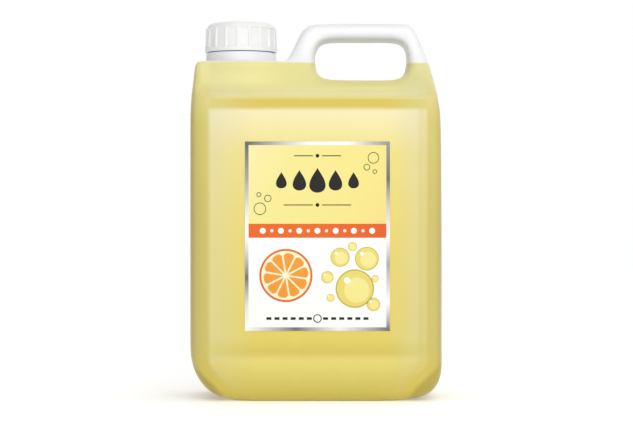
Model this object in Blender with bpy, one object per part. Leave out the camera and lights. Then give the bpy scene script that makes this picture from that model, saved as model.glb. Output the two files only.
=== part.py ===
"""Hand soap refill pack: a two-litre blow-moulded jerrycan, its screw cap, labels and soap.

Frame: metres, +Z up, origin under the middle of the base. The front label faces -Y, the
neck stands at -X and the carrying handle at +X. Dimensions below are in millimetres.
"""

from math import cos, pi, radians, sin, tau

import bmesh
import bpy
from mathutils import Vector

MM = 0.001
GAP = 0.3                    # air left between pieces that touch
SOAP_GAP = 0.4               # a little more round the soap, whose sides follow the bottle's

# Bottle
HALF_WIDTH = 74.3            # flank of the body from the middle
HALF_DEPTH = 39.4            # front face of the body from the middle plane
PANEL_RECESS = 0.8           # the label panels lie this much below the front and back
WALL = 1.2
SHOULDER_Z = 199.7           # top of the shoulder, round the foot of the neck
FILL_Z = 199.1               # surface of the soap
FOOT_ROUNDING = 13.0         # rounding under the front and back faces
FOOT_CAGE_Z = -5.5           # the cage stands this low, so that its smoothed foot meets z = 0
BASE_CAGE_Z = 2.0            # middle of the base at its two ends
PUSH_UP_CAGE_Z = 4.5         # middle of the base between them, raised off the ground
CROWN_Z = 223.0              # top of the handle

# Neck and its screw finish
NECK_X = -44.9
NECK_SIDES = 12
COLLAR_RADIUS = 20.85
COLLAR_TOP = 205.7
FINISH_RADIUS = 17.4
MOUTH_Z = 220.1
THREAD_PITCH = 4.2
THREAD_STEPS = 24            # steps in one turn
THREAD_START = 0.07          # angle of a thread's lower end from +X, in radians
THREAD_RUN_OUT = 3           # steps over which a thread rises from its wall at each end
THREAD_SINK = 0.4            # depth of a thread's foot inside its wall
NECK_THREAD_CREST = 18.5     # radius
NECK_THREAD_WIDTHS = (2.0, 0.9)  # at the foot and at the crest
NECK_THREAD_Z, NECK_THREAD_TURNS = 209.2, 1.5
CAP_THREAD_CREST = 17.8
CAP_THREAD_WIDTHS = (1.5, 0.8)
CAP_THREAD_Z, CAP_THREAD_TURNS = 211.3, 1.0

# Screw cap and its liner
CAP_BOTTOM = 206.0
CAP_TOP = 223.4
CAP_RADIUS = 21.55
CAP_INSIDE = 19.1
CAP_CEILING = 221.7
CAP_RIBS = 18
RIB_HALF_ANGLES = (1.4, 3.6)  # top and foot of a rib, degrees from its middle
RIB_HEIGHT = 0.6
RIB_TURN = -3.8              # the foremost rib stands this many degrees to the left
RIB_TOP = 219.8
RIB_BOTTOM = 208.4
RIB_TOP_TAPER = (0.75, 0.5)  # the ribs lean in by this at their top and 1 mm below it
RIB_FOOT_TAPER = 0.1
CAP_SHOULDER_RADIUS = 4.6
CAP_SHOULDER_INSET = 0.8     # the shoulder's rounding starts this far inside the ribs
LINER_BOTTOM = 220.4
LINER_TOP = 221.4
LINER_RADIUS = 18.0
LINER_SIDES = 36

# Labels
LABEL_LEFT, LABEL_RIGHT = -41.3, 43.0
LABEL_BOTTOM, LABEL_TOP = 41.4, 151.5
LABEL_BACK = HALF_DEPTH - PANEL_RECESS + GAP  # back of a label from the middle plane
LABEL_THICKNESS = 0.25

CUTTER_REACH = (100.0, 60.0)  # half width and half depth of the boxes that trim the cage
FLOOR_CUT_DEPTH = 20.0
AIR_CUT_HEIGHT = 40.0
SHARP_ANGLE = 38.0           # degrees between faces from which an edge is shaded sharp

# The bottle's cage. Columns of its front face run from the left edge to the right edge:
# the neck stands over the first five, and the finger hole lies between HOLE_LEFT and
# HOLE_RIGHT. Each row of the body has its height and its half depth.
COLUMNS = [-64.8, -56.1, -44.9, -33.7, -25.5, -12.0, -3.5, 16.0, 38.0, 57.0, 65.0]
NECK_COLUMNS = range(5)
LEG_LEFT, HOLE_LEFT, HOLE_RIGHT, LAST = 5, 6, 9, 10
BODY_ROWS = [
    (15.0, HALF_DEPTH),                      # upper edge of the rounded foot
    (33.0, HALF_DEPTH),
    (37.5, HALF_DEPTH - PANEL_RECESS),       # lower edge of the label panel
    (105.0, HALF_DEPTH - PANEL_RECESS),
    (170.5, HALF_DEPTH - PANEL_RECESS),      # upper edge of the label panel
    (173.5, HALF_DEPTH),
    (177.0, HALF_DEPTH),                     # ridge under the ledge
    (182.5, 31.0),                           # back of the ledge
]
LEDGE = len(BODY_ROWS) - 1
GRIP, MIDDLE, HOLE_TOP, CROWN = LEDGE + 1, LEDGE + 2, LEDGE + 3, LEDGE + 4

# Points of the front face that leave its columns: (column, row): (x, z, half depth)
FACE_POINTS = {
    (0, 0): (-60.0, 17.0, HALF_DEPTH - 0.4),
    (LAST, 0): (63.5, 14.0, HALF_DEPTH - 0.4),
    (0, GRIP): (-66.0, 192.5, 28.5),
    (1, GRIP): (-56.6, 192.5, 28.8),
    (2, GRIP): (-44.9, 192.5, 29.0),
    (3, GRIP): (-33.7, 192.5, 28.8),
    (4, GRIP): (-24.5, 192.0, 28.0),
    (5, GRIP): (-13.0, 191.0, 26.0),
    (6, GRIP): (-3.5, 188.0, 25.0),
    (7, GRIP): (16.0, 187.0, 26.0),
    (8, GRIP): (38.0, 187.0, 26.0),
    (9, GRIP): (57.5, 188.5, 23.0),
    (10, GRIP): (64.5, 191.0, 21.0),
    (0, MIDDLE): (-66.0, 196.3, 26.0),
    (1, MIDDLE): (-56.6, 196.6, 27.0),
    (2, MIDDLE): (-44.9, 196.6, 27.2),
    (3, MIDDLE): (-33.7, 196.6, 27.0),
    (4, MIDDLE): (-24.0, 196.4, 24.5),
    (5, MIDDLE): (-11.5, 200.2, 17.0),
    (6, MIDDLE): (-5.0, 200.5, 15.5),
    (9, MIDDLE): (58.7, 200.5, 13.5),
    (10, MIDDLE): (62.3, 200.5, 13.5),
    (5, HOLE_TOP): (-8.0, 213.5, 13.0),
    (6, HOLE_TOP): (-0.5, 215.8, 12.5),
    (7, HOLE_TOP): (16.0, 216.0, 12.5),
    (8, HOLE_TOP): (38.0, 216.0, 12.5),
    (9, HOLE_TOP): (54.6, 215.8, 12.5),
    (10, HOLE_TOP): (58.5, 214.0, 12.5),
    (5, CROWN): (-3.5, 219.0, 12.5),
    (6, CROWN): (3.0, 219.8, 12.0),
    (7, CROWN): (17.0, 220.0, 12.0),
    (8, CROWN): (38.0, 220.0, 12.0),
    (9, CROWN): (50.5, 219.6, 12.0),
    (10, CROWN): (55.0, 218.5, 12.5),
}

# Silhouette in the middle plane, one point for each point on the edge of the front face:
# (column, row): (x, z, depth of the rounding from the face to the silhouette)
OUTLINE = {
    (0, 0): (-67.6, 3.2, 13.0),
    (1, 0): (-56.8, 0.4, 13.0),
    (LAST, 0): (73.4, 1.0, 13.0),
    (0, 1): (-HALF_WIDTH, 29.5, 11.0),
    (0, 2): (-HALF_WIDTH, 39.0, 11.0),
    (0, 3): (-HALF_WIDTH, 105.0, 11.0),
    (0, 4): (-HALF_WIDTH, 160.0, 11.0),
    (0, 5): (-74.2, 171.0, 11.0),
    (0, 6): (-73.7, 177.5, 11.0),
    (0, LEDGE): (-72.8, 186.5, 9.0),
    (0, GRIP): (-71.8, 199.2, 8.0),
    (0, MIDDLE): (-68.8, SHOULDER_Z, 3.5),
    (1, MIDDLE): (-57.5, SHOULDER_Z, 2.0),
    (2, MIDDLE): (-44.9, SHOULDER_Z, 2.0),
    (3, MIDDLE): (-32.3, SHOULDER_Z, 2.0),
    (4, MIDDLE): (-20.8, SHOULDER_Z, 4.0),
    (5, MIDDLE): (-17.4, 200.4, 9.0),
    (5, HOLE_TOP): (-12.6, 211.5, 8.5),
    (5, CROWN): (-8.2, 222.6, 8.5),
    (6, CROWN): (3.5, CROWN_Z, 8.5),
    (7, CROWN): (17.5, CROWN_Z, 8.5),
    (8, CROWN): (38.0, CROWN_Z, 8.5),
    (9, CROWN): (50.0, CROWN_Z, 8.5),
    (10, CROWN): (59.8, 222.9, 8.5),
    (10, HOLE_TOP): (63.2, 211.8, 8.5),
    (10, MIDDLE): (67.4, 200.3, 9.0),
    (10, GRIP): (69.8, 190.0, 10.0),
    (10, LEDGE): (71.2, 182.4, 10.0),
    (10, 6): (72.3, 177.0, 11.0),
    (10, 5): (73.3, 170.8, 11.0),
    (10, 4): (HALF_WIDTH, 160.0, 11.0),
    (10, 3): (HALF_WIDTH, 105.0, 11.0),
    (10, 2): (HALF_WIDTH, 39.0, 11.0),
    (10, 1): (HALF_WIDTH, 33.0, 11.0),
    # round the finger hole
    (6, GRIP): (2.2, 189.0, 12.0),
    (7, GRIP): (16.0, 188.9, 12.0),
    (8, GRIP): (38.0, 188.9, 12.0),
    (9, GRIP): (51.6, 189.0, 11.0),
    (9, MIDDLE): (54.8, 200.4, 9.0),
    (9, HOLE_TOP): (53.2, 212.4, 8.5),
    (8, HOLE_TOP): (38.0, 212.0, 8.5),
    (7, HOLE_TOP): (16.0, 212.0, 8.5),
    (6, HOLE_TOP): (0.6, 212.4, 8.5),
    (6, MIDDLE): (-1.4, 200.4, 9.0),
}

# Rings of the neck above the shoulder: (radius, height, whether the ring is a sharp edge)
NECK_RINGS = [
    (22.6, SHOULDER_Z, False),
    (21.1, SHOULDER_Z + 0.4, False),
    (COLLAR_RADIUS, SHOULDER_Z + 1.8, False),
    (COLLAR_RADIUS, COLLAR_TOP, True),
    (FINISH_RADIUS, COLLAR_TOP, True),
    (FINISH_RADIUS, MOUTH_Z - 4.0, False),
    (FINISH_RADIUS, MOUTH_Z, False),
]


def clear_scene():
    for thing in list(bpy.data.objects):
        bpy.data.objects.remove(thing, do_unlink=True)


def make_material(name, colour, roughness, metallic=0.0):
    surface = bpy.data.materials.new(name)
    surface.use_nodes = True
    shader = surface.node_tree.nodes["Principled BSDF"]
    shader.inputs["Base Color"].default_value = (*colour, 1.0)
    shader.inputs["Roughness"].default_value = roughness
    shader.inputs["Metallic"].default_value = metallic
    return surface


def add_object(name, shape, surface=None, origin=(0.0, 0.0, 0.0)):
    """Make an object from a bmesh in millimetres, with its origin at a point in millimetres."""
    bmesh.ops.translate(shape, vec=-Vector(origin), verts=shape.verts)
    bmesh.ops.scale(shape, vec=(MM, MM, MM), verts=shape.verts)
    mesh = bpy.data.meshes.new(name)
    shape.to_mesh(mesh)
    shape.free()
    if surface:
        mesh.materials.append(surface)
    thing = bpy.data.objects.new(name, mesh)
    thing.location = Vector(origin) * MM
    bpy.context.collection.objects.link(thing)
    return thing


def hide_cutter(cutter):
    cutter.hide_render = True
    cutter.display_type = "WIRE"
    return cutter


def box_shape(low, high):
    shape = bmesh.new()
    bmesh.ops.create_cube(shape, size=1.0)
    bmesh.ops.scale(shape, vec=Vector(high) - Vector(low), verts=shape.verts)
    bmesh.ops.translate(shape, vec=(Vector(high) + Vector(low)) / 2, verts=shape.verts)
    return shape


def add_boolean(thing, other, operation):
    modifier = thing.modifiers.new(other.name, "BOOLEAN")
    modifier.object = other
    modifier.operation = operation


def add_subdivision(thing, levels):
    modifier = thing.modifiers.new("Subdivision", "SUBSURF")
    modifier.levels = levels
    modifier.render_levels = levels


def add_mirror(thing):
    modifier = thing.modifiers.new("Mirror", "MIRROR")
    modifier.use_axis = (False, True, False)
    modifier.merge_threshold = 0.00001


# The bottle's cage: the half in front of the middle plane, mirrored and smoothed later

def face_point(column, row):
    if (column, row) in FACE_POINTS:
        x, z, depth = FACE_POINTS[(column, row)]
    else:
        x = COLUMNS[column]
        z, depth = BODY_ROWS[row]
    return Vector((x, -depth, z))


def has_cell(column, row):
    """Whether the front face has a cell up and to the right of this point."""
    if not 0 <= column < LAST:
        return False
    if 0 <= row < GRIP:
        return True
    if row == GRIP:
        return column < HOLE_LEFT or column >= HOLE_RIGHT
    if row == MIDDLE:
        return column in (LEG_LEFT, HOLE_RIGHT)
    return row == HOLE_TOP and column >= LEG_LEFT


def rim_points(column, row):
    """Points from the edge of the front face round to the middle plane."""
    face = face_point(column, row)
    if row == 0 and (column, row) not in OUTLINE:
        raised = 2 < column < LAST - 1
        edge = Vector((face.x, FOOT_ROUNDING - HALF_DEPTH, FOOT_CAGE_Z))
        middle = Vector((face.x, 0.0, PUSH_UP_CAGE_Z if raised else BASE_CAGE_Z))
        return [edge, middle]
    x, z, rounding = OUTLINE[(column, row)]
    edge = Vector((x, face.y + rounding, z))
    if row == MIDDLE and column in (1, 2, 3):
        return [edge]            # the neck's ring is open behind this point
    return [edge, Vector((x, 0.0, z))]


def neck_ring(radius, height):
    """Half a ring of the neck, from its left point round the front to its right point.

    Smoothing draws a ring in, so the cage's ring is larger than the radius given.
    """
    reach = radius * 3 / (2 + cos(tau / NECK_SIDES))
    half = NECK_SIDES // 2
    ring = []
    for step in range(half + 1):
        angle = pi + pi * step / half
        depth = 0.0 if step in (0, half) else reach * sin(angle)
        ring.append(Vector((NECK_X + reach * cos(angle), depth, height)))
    return ring


def cell_corners(column, row):
    return [(column, row), (column + 1, row), (column + 1, row + 1), (column, row + 1)]


def bottle_cage(with_neck):
    """Half of the bottle's outer skin. Without the neck its ring is closed over."""
    shape = bmesh.new()
    rims = {}                    # (column, row): vertices from the face to the middle plane

    def rim(key):
        if key not in rims:
            rims[key] = [shape.verts.new(face_point(*key))]
        return rims[key]

    cells = []
    for row in range(CROWN):
        for column in range(LAST):
            if has_cell(column, row):
                cells.append((column, row))
                shape.faces.new([rim(key)[0] for key in cell_corners(column, row)])

    below_right_above_left = [(0, -1), (1, 0), (0, 1), (-1, 0)]
    for column, row in cells:
        corners = cell_corners(column, row)
        for side, (across, up) in enumerate(below_right_above_left):
            if has_cell(column + across, row + up):
                continue
            start, end = corners[side], corners[(side + 1) % 4]
            for key in (start, end):
                if len(rim(key)) == 1:
                    rim(key).extend(shape.verts.new(point) for point in rim_points(*key))
            first, second = rim(start), rim(end)
            over_neck = start[1] == end[1] == MIDDLE and max(start[0], end[0]) < LEG_LEFT
            levels = 1 if over_neck else len(first) - 1
            for level in range(levels):
                quad = [second[level], first[level], first[level + 1], second[level + 1]]
                shape.faces.new(quad)

    ring = [rims[(column, MIDDLE)][1] for column in NECK_COLUMNS]
    left, right = rims[(0, MIDDLE)][2], rims[(4, MIDDLE)][2]
    if with_neck:
        raise_neck(shape, [left, *ring, right])
    else:
        middles = [left]
        middles += [shape.verts.new((vert.co.x, 0.0, vert.co.z)) for vert in ring[1:-1]]
        middles.append(right)
        for here in range(len(ring) - 1):
            there = here + 1
            shape.faces.new([ring[here], ring[there], middles[there], middles[here]])
    shape.normal_update()
    return shape


def raise_neck(shape, below):
    """Raise the neck's rings one on another from the open ring in the shoulder."""
    crease = shape.edges.layers.float.new("crease_edge")
    for radius, height, sharp in NECK_RINGS:
        above = [shape.verts.new(point) for point in neck_ring(radius, height)]
        for here in range(len(below) - 1):
            there = here + 1
            shape.faces.new([below[here], below[there], above[there], above[here]])
            if sharp:
                shape.edges.get((above[here], above[there]))[crease] = 1.0
        below = above


def thread_ridge(wall, crest, widths, start_z, turns):
    """A helical ridge whose foot is sunk into a wall, with both its ends run out."""
    shape = bmesh.new()
    root_width, crest_width = widths
    steps = round(turns * THREAD_STEPS)
    sink = THREAD_SINK if crest > wall else -THREAD_SINK
    sections = []
    for step in range(steps + 1):
        angle = THREAD_START + tau * step / THREAD_STEPS
        height = start_z + THREAD_PITCH * step / THREAD_STEPS
        steps_to_end = min(step, steps - step) + 0.6
        fullness = min(1.0, steps_to_end / THREAD_RUN_OUT)
        top = wall + (crest - wall) * fullness
        section = []
        for radius, offset in [
            (wall - sink, -root_width / 2),
            (top, -crest_width / 2),
            (top, crest_width / 2),
            (wall - sink, root_width / 2),
        ]:
            spot = (NECK_X + radius * cos(angle), radius * sin(angle), height + offset)
            section.append(shape.verts.new(spot))
        sections.append(section)
    for first, second in zip(sections, sections[1:]):
        for side in range(4):
            ahead = (side + 1) % 4
            shape.faces.new([first[side], first[ahead], second[ahead], second[side]])
    shape.faces.new(sections[0])
    shape.faces.new(sections[-1])
    bmesh.ops.recalc_face_normals(shape, faces=shape.faces)
    return shape


def turned(profile, angles, wall_shift=None):
    """A solid turned about the neck's axis from a profile whose two ends lie on the axis."""
    shape = bmesh.new()
    rings = []
    for radius, height in profile:
        if radius == 0.0:
            rings.append([shape.verts.new((NECK_X, 0.0, height))])
            continue
        ring = []
        for number, angle in enumerate(angles):
            reach = radius - (wall_shift(number, radius, height) if wall_shift else 0.0)
            spot = (NECK_X + reach * cos(angle), reach * sin(angle), height)
            ring.append(shape.verts.new(spot))
        rings.append(ring)
    for upper, lower in zip(rings, rings[1:]):
        for here in range(len(angles)):
            there = (here + 1) % len(angles)
            quad = [upper[here % len(upper)], lower[here % len(lower)],
                    lower[there % len(lower)], upper[there % len(upper)]]
            shape.faces.new(dict.fromkeys(quad))
    bmesh.ops.recalc_face_normals(shape, faces=shape.faces)
    return shape


def shade_round(thing):
    thing.data.shade_smooth()
    thing.data.set_sharp_from_angle(angle=radians(SHARP_ANGLE))


def build_bottle(plastic):
    bottle = add_object("bottle", bottle_cage(with_neck=True), plastic)
    add_mirror(bottle)
    add_subdivision(bottle, 1)
    wall = bottle.modifiers.new("Wall", "SOLIDIFY")
    wall.thickness = WALL * MM
    wall.offset = -1.0
    wall.use_even_offset = True
    ridge = thread_ridge(FINISH_RADIUS, NECK_THREAD_CREST, NECK_THREAD_WIDTHS,
                         NECK_THREAD_Z, NECK_THREAD_TURNS)
    add_boolean(bottle, hide_cutter(add_object("neck_thread_tool", ridge)), "UNION")
    reach_x, reach_y = CUTTER_REACH
    floor = box_shape((-reach_x, -reach_y, -FLOOR_CUT_DEPTH), (reach_x, reach_y, 0.0))
    add_boolean(bottle, hide_cutter(add_object("base_cut_tool", floor)), "DIFFERENCE")
    shade_round(bottle)
    return bottle


def build_soap(liquid):
    soap = add_object("soap_fill", bottle_cage(with_neck=False), liquid)
    add_mirror(soap)
    add_subdivision(soap, 1)
    shrink = soap.modifiers.new("Shrink", "DISPLACE")
    shrink.strength = -(WALL + SOAP_GAP) * MM
    shrink.mid_level = 0.0
    shrink.direction = "NORMAL"
    reach_x, reach_y = CUTTER_REACH
    air = box_shape((-reach_x, -reach_y, FILL_Z), (reach_x, reach_y, FILL_Z + AIR_CUT_HEIGHT))
    add_boolean(soap, hide_cutter(add_object("fill_level_tool", air)), "DIFFERENCE")
    shade_round(soap)
    return soap


def rib_angles():
    angles = []
    inner, outer = RIB_HALF_ANGLES
    for rib in range(CAP_RIBS):
        middle = 270.0 + RIB_TURN + 360.0 * rib / CAP_RIBS
        angles += [radians(middle + turn) for turn in (-outer, -inner, inner, outer)]
    return angles


def build_cap(plastic):
    shoulder = []
    centre_radius = CAP_RADIUS - CAP_SHOULDER_INSET - CAP_SHOULDER_RADIUS
    for step in range(4):
        angle = radians(90 - 20 * step)
        shoulder.append((centre_radius + CAP_SHOULDER_RADIUS * cos(angle),
                         CAP_TOP - CAP_SHOULDER_RADIUS * (1 - sin(angle))))
    top_taper, upper_taper = RIB_TOP_TAPER
    profile = [(0.0, CAP_TOP), *shoulder,
               (CAP_RADIUS - top_taper, RIB_TOP), (CAP_RADIUS - upper_taper, RIB_TOP - 1.0),
               (CAP_RADIUS - RIB_FOOT_TAPER, RIB_BOTTOM + 0.4), (CAP_RADIUS, RIB_BOTTOM),
               (CAP_RADIUS, CAP_BOTTOM), (CAP_INSIDE, CAP_BOTTOM),
               (CAP_INSIDE, CAP_CEILING), (0.0, CAP_CEILING)]

    def flute(number, radius, height):
        between_ribs = number % 4 in (0, 3)
        on_grip = RIB_BOTTOM < height < RIB_TOP and radius > CAP_INSIDE + GAP
        return RIB_HEIGHT if between_ribs and on_grip else 0.0

    cap = add_object("screw_cap", turned(profile, rib_angles(), flute), plastic,
                     origin=(NECK_X, 0.0, CAP_BOTTOM))
    ridge = thread_ridge(CAP_INSIDE, CAP_THREAD_CREST, CAP_THREAD_WIDTHS,
                         CAP_THREAD_Z, CAP_THREAD_TURNS)
    add_boolean(cap, hide_cutter(add_object("cap_thread_tool", ridge)), "UNION")
    shade_round(cap)
    return cap


def build_liner(foam):
    angles = [tau * step / LINER_SIDES for step in range(LINER_SIDES)]
    profile = [(0.0, LINER_TOP), (LINER_RADIUS, LINER_TOP),
               (LINER_RADIUS, LINER_BOTTOM), (0.0, LINER_BOTTOM)]
    liner = add_object("cap_liner", turned(profile, angles), foam,
                       origin=(NECK_X, 0.0, LINER_BOTTOM))
    shade_round(liner)
    return liner


def build_label(name, side, paper):
    near, far = side * LABEL_BACK, side * (LABEL_BACK + LABEL_THICKNESS)
    low = (LABEL_LEFT, min(near, far), LABEL_BOTTOM)
    high = (LABEL_RIGHT, max(near, far), LABEL_TOP)
    return add_object(name, box_shape(low, high), paper)


def build():
    clear_scene()
    milky = make_material("milky_hdpe", (0.90, 0.86, 0.62), 0.35)
    white = make_material("white_polypropylene", (0.86, 0.86, 0.85), 0.32)
    build_bottle(milky)
    build_soap(make_material("yellow_soap", (0.82, 0.68, 0.22), 0.1))
    build_cap(white)
    build_liner(make_material("liner_foam", (0.80, 0.80, 0.78), 0.8))
    build_label("front_label", -1, make_material("front_label_film", (0.93, 0.90, 0.75), 0.4))
    build_label("back_label", 1, make_material("back_label_film", (0.93, 0.92, 0.90), 0.45))


build()
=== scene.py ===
"""Hand soap refill pack: the looks of a two-litre blow-moulded jerrycan of yellow hand soap.

Metres, +Z up, origin under the middle of the base. The front label faces -Y, the neck
stands at -X and the carrying handle at +X. Sizes below are in millimetres unless they say so.
"""

from math import atan2, cos, degrees, pi, radians, sin, tau

import bmesh
import bpy
from mathutils import Matrix, Vector


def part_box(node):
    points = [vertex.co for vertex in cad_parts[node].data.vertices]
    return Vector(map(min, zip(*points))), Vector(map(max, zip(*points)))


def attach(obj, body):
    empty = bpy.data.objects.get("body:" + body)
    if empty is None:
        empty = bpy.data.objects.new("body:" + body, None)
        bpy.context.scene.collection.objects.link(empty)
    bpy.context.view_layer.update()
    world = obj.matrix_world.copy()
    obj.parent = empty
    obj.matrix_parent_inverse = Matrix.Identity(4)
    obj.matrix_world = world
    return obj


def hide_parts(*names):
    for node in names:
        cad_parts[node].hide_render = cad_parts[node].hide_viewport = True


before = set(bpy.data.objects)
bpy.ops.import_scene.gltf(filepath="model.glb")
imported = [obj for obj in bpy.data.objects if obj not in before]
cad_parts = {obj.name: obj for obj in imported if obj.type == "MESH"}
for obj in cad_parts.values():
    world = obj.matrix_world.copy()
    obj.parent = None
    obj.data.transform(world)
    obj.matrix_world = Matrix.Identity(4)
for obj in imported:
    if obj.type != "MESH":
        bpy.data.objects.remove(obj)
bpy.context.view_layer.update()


# Bottle: one blow-moulded shell of natural high-density polyethylene, body, neck and
# hollow handle together. A parison is blown in a two-part mould, which leaves a faint
# parting line round the middle. The wall is milky, so the soap's yellow shows up to its level.

MM = 0.001
HALF_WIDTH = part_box("bottle")[1].x / MM
CROWN_Z = 223.0
PANEL = 38.6                  # half depth of the flat panels that carry the labels
WALL = 1.2
SHOULDER_Z = 199.7
FOOT_Z = -2.8                 # the cage's foot dips under the floor, and is then cut flat
PUSH_UP_Z = 3.4               # cage height of the middle of the base
SEAM_HALF_WIDTH = 0.45
SEAM_HEIGHT = 0.16
SHARP_ANGLE = 38              # degrees, past which an edge isn't shaded smooth
CUT_DIST = 0.0001             # a cut takes a point this near its plane to be on it
NEAR = 0.001                  # a point this near a plane lies on it

# The front face is a lattice of columns and rows, smoothed later. The neck stands over the
# first seven columns, and the finger hole lies between HOLE_LEFT and HOLE_RIGHT.
COLUMNS = [-64.2, -62.0, -54.0, -44.9, -36.0, -28.0, -23.5, -12.0, -3.5, 16.0, 38.0, 57.0, 60.2, 64.8]
NECK_COLUMNS = range(7)
LEG_LEFT, HOLE_LEFT, HOLE_RIGHT, LAST = 7, 8, 11, 13
BODY_ROWS = [                 # height, half depth
    (15.0, 39.2),             # upper edge of the rounded foot
    (20.5, 39.5),
    (23.5, 39.3),             # lower lip of the groove
    (28.3, 38.0),             # groove under the panel
    (32.8, 38.3),
    (35.2, PANEL),            # lower edge of the panel
    (105.0, PANEL),
    (168.5, PANEL),
    (171.0, 38.65),           # upper edge of the panel
    (172.8, 38.95),
    (176.2, 39.5),            # ridge
    (178.2, 38.9),
    (181.6, 33.0),
    (184.0, 31.0),            # back of the ledge
]
GRIP = len(BODY_ROWS)
MIDDLE, HOLE_TOP, CROWN = GRIP + 1, GRIP + 2, GRIP + 3

# Points of the front face off the lattice: (column, row): (x, height, half depth)
FACE_POINTS = {
    (0, 0): (-58.6, 16.6, 38.6), (1, 0): (-56.8, 15.6, 39.0),
    (0, 1): (-61.4, 20.8, 39.0), (1, 1): (-59.4, 20.5, 39.4),
    (0, 2): (-63.0, 24.0, 39.0), (1, 2): (-60.9, 23.6, 39.2),
    (0, 3): (-63.9, 28.3, 38.4), (1, 3): (-61.7, 28.3, 38.0),
    (LAST, 0): (61.0, 15.0, 38.3), (12, 0): (57.5, 14.5, 38.9),
    (LAST, 1): (63.5, 20.5, 38.6), (12, 1): (59.6, 20.5, 39.2),
    (0, GRIP): (-66.0, 192.5, 28.5), (1, GRIP): (-63.0, 192.5, 28.6),
    (2, GRIP): (-54.5, 192.5, 28.8), (3, GRIP): (-44.9, 192.5, 29.0),
    (4, GRIP): (-36.0, 192.5, 28.9), (5, GRIP): (-28.5, 192.4, 28.5),
    (6, GRIP): (-23.0, 192.0, 27.8), (7, GRIP): (-13.0, 191.0, 26.0),
    (8, GRIP): (-3.5, 187.6, 25.5), (9, GRIP): (16.0, 186.4, 26.0),
    (10, GRIP): (38.0, 186.4, 26.0), (11, GRIP): (57.2, 188.2, 23.5),
    (12, GRIP): (60.8, 189.6, 22.5), (13, GRIP): (64.5, 191.0, 21.0),
    (0, MIDDLE): (-66.0, 196.0, 26.0), (1, MIDDLE): (-63.2, 196.3, 26.4),
    (2, MIDDLE): (-54.8, 196.5, 27.0), (3, MIDDLE): (-44.9, 196.5, 27.2),
    (4, MIDDLE): (-35.6, 196.5, 27.1), (5, MIDDLE): (-28.0, 196.4, 26.0),
    (6, MIDDLE): (-22.5, 196.4, 24.0), (7, MIDDLE): (-11.5, 200.2, 17.0),
    (8, MIDDLE): (-5.0, 200.5, 15.5), (11, MIDDLE): (58.7, 200.5, 13.5),
    (12, MIDDLE): (60.6, 200.5, 13.5), (13, MIDDLE): (62.5, 200.5, 13.5),
    (7, HOLE_TOP): (-8.0, 213.5, 13.0), (8, HOLE_TOP): (-0.5, 215.8, 12.5),
    (9, HOLE_TOP): (16.0, 216.0, 12.5), (10, HOLE_TOP): (38.0, 216.0, 12.5),
    (11, HOLE_TOP): (54.4, 215.8, 12.5), (12, HOLE_TOP): (56.6, 215.2, 12.5),
    (13, HOLE_TOP): (58.6, 214.2, 12.5),
    (7, CROWN): (-3.5, 219.0, 12.5), (8, CROWN): (3.0, 219.8, 12.0),
    (9, CROWN): (17.0, 220.0, 12.0), (10, CROWN): (38.0, 220.0, 12.0),
    (11, CROWN): (50.0, 219.6, 12.0), (12, CROWN): (53.0, 219.2, 12.2),
    (13, CROWN): (55.6, 218.2, 12.5),
}

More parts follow.
